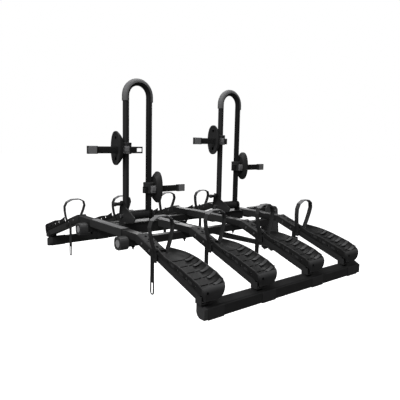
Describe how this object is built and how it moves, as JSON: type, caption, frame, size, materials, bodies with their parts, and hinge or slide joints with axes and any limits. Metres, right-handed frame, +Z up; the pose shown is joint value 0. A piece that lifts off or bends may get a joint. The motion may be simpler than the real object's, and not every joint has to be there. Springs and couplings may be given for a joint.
{
  "type": "hitch mounted bike rack",
  "caption": "Hitch mounted platform bike rack with two folding hoops, sliding frame holders, gull-wing wheel trays and strapped wheel holders on a tilting frame.",
  "frame": {"origin": "centre of the hitch pin hole, on the axis of the square shank that enters the vehicle's receiver", "axes": "+Y along the shank into the receiver, so the platform reaches out towards -Y; +X along the trays, towards the end bar that is nearer in the picture; +Z up"},
  "size_m": [1.508, 1.5945, 1.013],
  "materials": {
    "painted_steel": "satin black powder coat",
    "painted_aluminium": "satin black coated extrusion",
    "moulded_plastic": "fine grained matte black",
    "strap_rubber": "matte black flexible strap",
    "grey_cover": "matte dark grey",
    "reflector": "pale glossy lens",
    "zinc_steel": "zinc plated"
  },
  "bodies": {
    "hitch": {"hitch_stinger": "painted_steel", "hitch_pin": "zinc_steel", "tilt_bolt": "zinc_steel"},
    "platform": {"drop_bracket": "painted_steel", "hitch_beam": "painted_steel", "spine_front": "painted_steel", "spine_rear": "painted_steel", "rail_near": "painted_steel", "rail_far": "painted_steel", "rail_bumper_near": "moulded_plastic", "rail_bumper_far": "moulded_plastic", "reflector_near": "reflector", "reflector_far": "reflector", "brace_near": "painted_steel", "brace_far": "painted_steel", "end_bar_near": "painted_aluminium", "end_bar_far": "painted_aluminium", "end_cap_outer_near": "moulded_plastic", "end_cap_outer_far": "moulded_plastic", "end_cap_inner_near": "moulded_plastic", "end_cap_inner_far": "moulded_plastic", "hoop_base_front": "painted_steel", "hoop_base_rear": "painted_steel", "pivot_bolt_front": "zinc_steel", "pivot_bolt_rear": "zinc_steel", "tray_tube_1": "painted_steel", "tray_tube_2": "painted_steel", "tray_tube_3": "painted_steel", "tray_tube_4": "painted_steel", "wheel_holder_1_near": "moulded_plastic", "wheel_holder_1_far": "moulded_plastic", "wheel_holder_2_near": "moulded_plastic", "wheel_holder_2_far": "moulded_plastic", "wheel_holder_3_near": "moulded_plastic", "wheel_holder_3_far": "moulded_plastic", "wheel_holder_4_near": "moulded_plastic", "wheel_holder_4_far": "moulded_plastic", "wheel_strap_1_near": "strap_rubber", "wheel_strap_1_far": "strap_rubber", "wheel_strap_2_near": "strap_rubber", "wheel_strap_2_far": "strap_rubber", "wheel_strap_3_near": "strap_rubber", "wheel_strap_3_far": "strap_rubber", "wheel_strap_4_near": "strap_rubber", "wheel_strap_4_far": "strap_rubber"},
    "tilt_lever": {"tilt_lever": "painted_steel"},
    "hoop_front": {"hoop_front": "painted_steel", "hoop_cover_front": "grey_cover"},
    "pull_knob_front": {"pull_knob_front": "moulded_plastic"},
    "holder_front_left": {"frame_cradle_front_left": "moulded_plastic", "frame_strap_front_left": "strap_rubber"},
    "holder_front_right": {"frame_cradle_front_right": "moulded_plastic", "frame_strap_front_right": "strap_rubber"},
    "hoop_rear": {"hoop_rear": "painted_steel", "hoop_cover_rear": "grey_cover"},
    "pull_knob_rear": {"pull_knob_rear": "moulded_plastic"},
    "holder_rear_left": {"frame_cradle_rear_left": "moulded_plastic", "frame_strap_rear_left": "strap_rubber"},
    "holder_rear_right": {"frame_cradle_rear_right": "moulded_plastic", "frame_strap_rear_right": "strap_rubber"}
  },
  "joints": [
    {"name": "platform_tilt", "type": "hinge", "parent": "hitch", "child": "platform", "pos_m": [0, -0.195, 0], "axis": [-1, 0, 0], "range_deg": [-25, 65]},
    {"name": "tilt_lever_turn", "type": "hinge", "parent": "platform", "child": "tilt_lever", "pos_m": [0, -0.259, 0.269], "axis": [-1, 0, 0], "range_deg": [0, 35], "stiffness_Nm_per_rad": 0.3, "springref_deg": -22.92},
    {"name": "hoop_front_fold", "type": "hinge", "parent": "platform", "child": "hoop_front", "pos_m": [0, -1.236, 0.3], "axis": [0, 1, 0], "range_deg": [0, 65], "deforming": ["wheel_strap_1_near", "wheel_strap_2_near"]},
    {"name": "pull_knob_front_slide", "type": "slide", "parent": "platform", "child": "pull_knob_front", "axis": [0, -1, 0], "range_m": [0, 0.012], "stiffness_N_per_m": 400, "springref_m": -0.006},
    {"name": "holder_front_left_slide", "type": "slide", "parent": "hoop_front", "child": "holder_front_left", "axis": [0, 0, 1], "range_m": [-0.1, 0.1]},
    {"name": "holder_front_right_slide", "type": "slide", "parent": "hoop_front", "child": "holder_front_right", "axis": [0, 0, 1], "range_m": [-0.02, 0.05]},
    {"name": "hoop_rear_fold", "type": "hinge", "parent": "platform", "child": "hoop_rear", "pos_m": [0, -0.604, 0.3], "axis": [0, 1, 0], "range_deg": [0, 65], "deforming": ["wheel_strap_3_near", "wheel_strap_4_near"]},
    {"name": "pull_knob_rear_slide", "type": "slide", "parent": "platform", "child": "pull_knob_rear", "axis": [0, -1, 0], "range_m": [0, 0.012], "stiffness_N_per_m": 400, "springref_m": -0.006},
    {"name": "holder_rear_left_slide", "type": "slide", "parent": "hoop_rear", "child": "holder_rear_left", "axis": [0, 0, 1], "range_m": [-0.07, 0.09]},
    {"name": "holder_rear_right_slide", "type": "slide", "parent": "hoop_rear", "child": "holder_rear_right", "axis": [0, 0, 1], "range_m": [-0.04, 0.04]}
  ]
}
